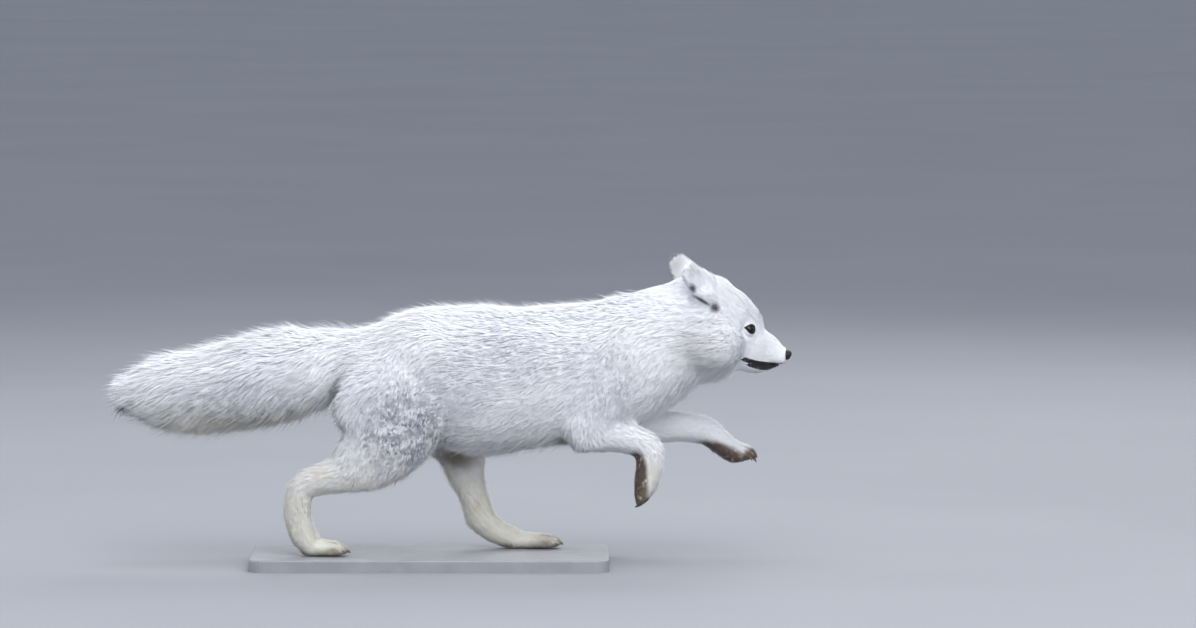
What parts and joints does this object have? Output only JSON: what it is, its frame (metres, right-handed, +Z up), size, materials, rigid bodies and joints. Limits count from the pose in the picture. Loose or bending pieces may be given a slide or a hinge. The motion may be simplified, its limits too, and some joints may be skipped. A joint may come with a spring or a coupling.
{
  "type": "arctic fox model",
  "caption": "Life-size still arctic fox in white winter coat, galloping with both hind feet down and the forelegs lifted, on a flat display base.",
  "frame": {"origin": "centre of the display base's flat underside", "axes": "+X runs forwards along the body towards the head, +Y to the fox's left, +Z up"},
  "size_m": [0.8137, 0.21, 0.3707],
  "materials": {
    "white_coat": "soft white fur with a cool cast and fine grey flecks",
    "cream_coat": "long white fur, creamy and slightly soiled",
    "muddy_coat": "short fur, brown with mud on the sole side",
    "nose_skin": "black pebbled skin, slightly moist; also lips and claws",
    "dark_eye": "very dark brown, glossy and wet",
    "stand_paint": "matte grey paint on board"
  },
  "bodies": {
    "root": {"trunk": "white_coat", "neck": "white_coat", "head": "white_coat", "lower_jaw": "white_coat", "ear_left": "white_coat", "ear_right": "white_coat", "eye_left": "dark_eye", "eye_right": "dark_eye", "nose": "nose_skin", "tail": "cream_coat", "fore_left_upper_arm": "white_coat", "fore_left_forearm": "white_coat", "fore_left_paw": "muddy_coat", "fore_right_upper_arm": "white_coat", "fore_right_forearm": "white_coat", "fore_right_paw": "muddy_coat", "hind_left_thigh": "white_coat", "hind_left_shank": "white_coat", "hind_left_metatarsus": "white_coat", "hind_left_foot": "cream_coat", "hind_right_thigh": "white_coat", "hind_right_shank": "white_coat", "hind_right_metatarsus": "white_coat", "hind_right_foot": "cream_coat", "stand_base": "stand_paint"}
  },
  "joints": []
}
